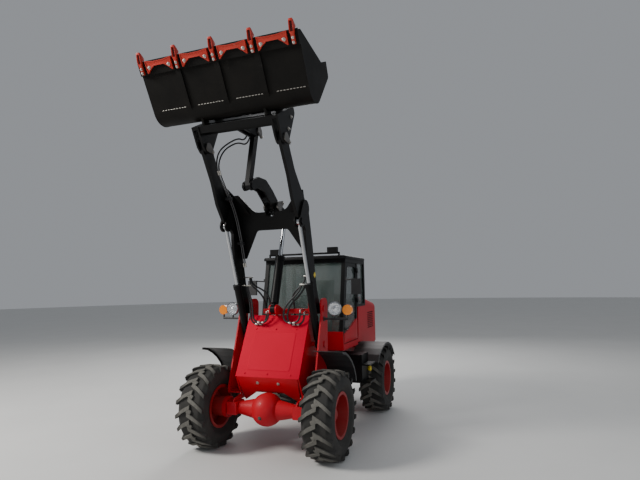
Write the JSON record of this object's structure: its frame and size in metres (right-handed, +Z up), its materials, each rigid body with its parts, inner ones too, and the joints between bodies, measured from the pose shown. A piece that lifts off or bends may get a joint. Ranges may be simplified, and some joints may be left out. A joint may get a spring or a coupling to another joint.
{
  "type": "wheel loader",
  "caption": "Compact articulated wheel loader with a raised toothed bucket on a Z-bar boom, enclosed cab, sloped hood, red body and black working gear",
  "frame": {"origin": "on the ground under the middle of the machine's overall length, halfway between its left and right sides", "axes": "+X forward towards the bucket, +Y to the machine's left, +Z up"},
  "size_m": [5.0144, 2.1002, 4.9233],
  "materials": {
    "red_paint": "gloss red paint with road dust",
    "tyre": "matt black tyre rubber",
    "black_plastic": "moulded black plastic",
    "black_paint": "satin black paint",
    "chrome": "hard chromed rod",
    "orange_paint": "orange-red paint on hardened steel",
    "pin_steel": "plain turned steel",
    "dark_iron": "painted iron castings",
    "glass": "green tinted safety glass",
    "clear_lens": "fluted clear lens",
    "amber": "amber lens",
    "vinyl": "black seat vinyl"
  },
  "bodies": {
    "chassis_rear": {"rear_frame": "red_paint", "tail": "dark_iron", "engine": "dark_iron", "hood_top": "red_paint", "hood_sides": "red_paint", "hood_rear": "black_paint", "fenders_rear": "black_plastic", "step_boxes": "black_paint", "cab_base": "red_paint", "cab_frame": "black_paint", "cab_roof": "black_paint", "cab_glass": "glass", "seat": "vinyl", "console": "black_plastic", "mirrors": "black_plastic", "roof_rail": "black_paint", "axle_rear": "red_paint"},
    "chassis_front": {"front_frame": "red_paint", "towers": "red_paint", "front_panel": "red_paint", "fenders_front": "black_plastic", "headlights": "black_plastic", "headlight_lenses": "clear_lens", "signals": "amber", "axle_front": "red_paint"},
    "wheel_front_left": {"rim_front_left": "red_paint", "tyre_front_left": "tyre"},
    "wheel_front_right": {"rim_front_right": "red_paint", "tyre_front_right": "tyre"},
    "wheel_rear_left": {"rim_rear_left": "red_paint", "tyre_rear_left": "tyre"},
    "wheel_rear_right": {"rim_rear_right": "red_paint", "tyre_rear_right": "tyre"},
    "boom": {"boom_arm_left": "black_paint", "boom_arm_right": "black_paint", "boom_cross": "black_paint"},
    "bucket_hinge": {"hinge_pins": "pin_steel"},
    "tool": {"hitch": "black_paint", "bucket": "black_paint", "teeth": "orange_paint", "edge_segments": "orange_paint"},
    "rocker_hinge": {"rocker_pin": "pin_steel"},
    "rocker": {"rocker": "black_paint"},
    "link_hinge": {"link_pin": "pin_steel"},
    "link": {"link": "black_paint"},
    "tilt_barrel": {"tilt_barrel": "black_paint"},
    "tilt_rod": {"tilt_rod": "chrome"},
    "lift_barrels": {"lift_barrels": "black_paint"},
    "lift_rods": {"lift_rods": "chrome"},
    "door": {"door": "black_paint", "door_glass": "glass"}
  },
  "joints": [
    {"name": "steer", "type": "hinge", "parent": "chassis_rear", "child": "chassis_front", "pos_m": [-0.10223, 0, 0.76], "axis": [0, 0, 1], "range_deg": [-36, 36]},
    {"name": "boom_lift", "type": "hinge", "parent": "chassis_front", "child": "boom", "pos_m": [0.66277, 0, 1.81], "axis": [0, 1, 0], "range_deg": [0, 106]},
    {"name": "level", "type": "hinge", "parent": "boom", "child": "bucket_hinge", "pos_m": [1.76477, 0, 3.899], "axis": [0, 1, 0], "range_deg": [-76.32, 0]},
    {"name": "bucket_tilt", "type": "hinge", "parent": "bucket_hinge", "child": "tool", "pos_m": [1.76477, 0, 3.899], "axis": [0, 1, 0], "range_deg": [0, 96]},
    {"name": "rocker_level", "type": "hinge", "parent": "boom", "child": "rocker_hinge", "pos_m": [0.92777, 0, 3.223], "axis": [0, 1, 0], "range_deg": [0, 44.63]},
    {"name": "rocker_swing", "type": "hinge", "parent": "rocker_hinge", "child": "rocker", "pos_m": [0.92777, 0, 3.223], "axis": [0, 1, 0], "range_deg": [-24.11, 0]},
    {"name": "link_level", "type": "hinge", "parent": "tool", "child": "link_hinge", "pos_m": [1.43077, 0, 4.146], "axis": [0, 1, 0], "range_deg": [0, 83.74]},
    {"name": "link_swing", "type": "hinge", "parent": "link_hinge", "child": "link", "pos_m": [1.43077, 0, 4.146], "axis": [0, 1, 0], "range_deg": [-37.18, 0]},
    {"name": "tilt_barrel_swing", "type": "hinge", "parent": "chassis_front", "child": "tilt_barrel", "pos_m": [0.93277, 0, 1.815], "axis": [0, 1, 0], "range_deg": [0, 122.92]},
    {"name": "tilt_rod_slide", "type": "slide", "parent": "tilt_barrel", "child": "tilt_rod", "axis": [-0.3009, 0, 0.9536], "range_m": [-0.1736, 0]},
    {"name": "lift_barrel_swing", "type": "hinge", "parent": "chassis_front", "child": "lift_barrels", "pos_m": [0.66277, 0, 1.33], "axis": [0, 1, 0], "range_deg": [0, 89.04]},
    {"name": "lift_rod_slide", "type": "slide", "parent": "lift_barrels", "child": "lift_rods", "axis": [0.3547, 0, 0.935], "range_m": [-0.6678, 0]},
    {"name": "door_hinge", "type": "hinge", "parent": "chassis_rear", "child": "door", "pos_m": [-0.78223, 0.694, 1.86], "axis": [0, 0, 1], "range_deg": [0, 95]},
    {"name": "wheel_front_left_spin", "type": "hinge", "parent": "chassis_front", "child": "wheel_front_left", "pos_m": [1.14277, 0.85, 0.5375], "axis": [0, 1, 0], "continuous": true},
    {"name": "wheel_front_right_spin", "type": "hinge", "parent": "chassis_front", "child": "wheel_front_right", "pos_m": [1.14277, -0.85, 0.5375], "axis": [0, 1, 0], "continuous": true},
    {"name": "wheel_rear_left_spin", "type": "hinge", "parent": "chassis_rear", "child": "wheel_rear_left", "pos_m": [-1.34723, 0.85, 0.5375], "axis": [0, 1, 0], "continuous": true},
    {"name": "wheel_rear_right_spin", "type": "hinge", "parent": "chassis_rear", "child": "wheel_rear_right", "pos_m": [-1.34723, -0.85, 0.5375], "axis": [0, 1, 0], "continuous": true}
  ],
  "couplings": [
    {"joint": "level", "follows": "boom_lift", "ratio": -0.72},
    {"joint": "rocker_level", "follows": "boom_lift", "ratio": 0.421},
    {"joint": "rocker_swing", "follows": "bucket_tilt", "ratio": -0.2511},
    {"joint": "link_level", "follows": "boom_lift", "ratio": 0.79},
    {"joint": "link_swing", "follows": "bucket_tilt", "ratio": -0.3873},
    {"joint": "tilt_barrel_swing", "follows": "boom_lift", "ratio": 1.1596},
    {"joint": "tilt_rod_slide", "follows": "bucket_tilt", "m_per_rad": -0.1036},
    {"joint": "lift_barrel_swing", "follows": "boom_lift", "ratio": 0.84},
    {"joint": "lift_rod_slide", "follows": "boom_lift", "m_per_rad": -0.36096}
  ]
}
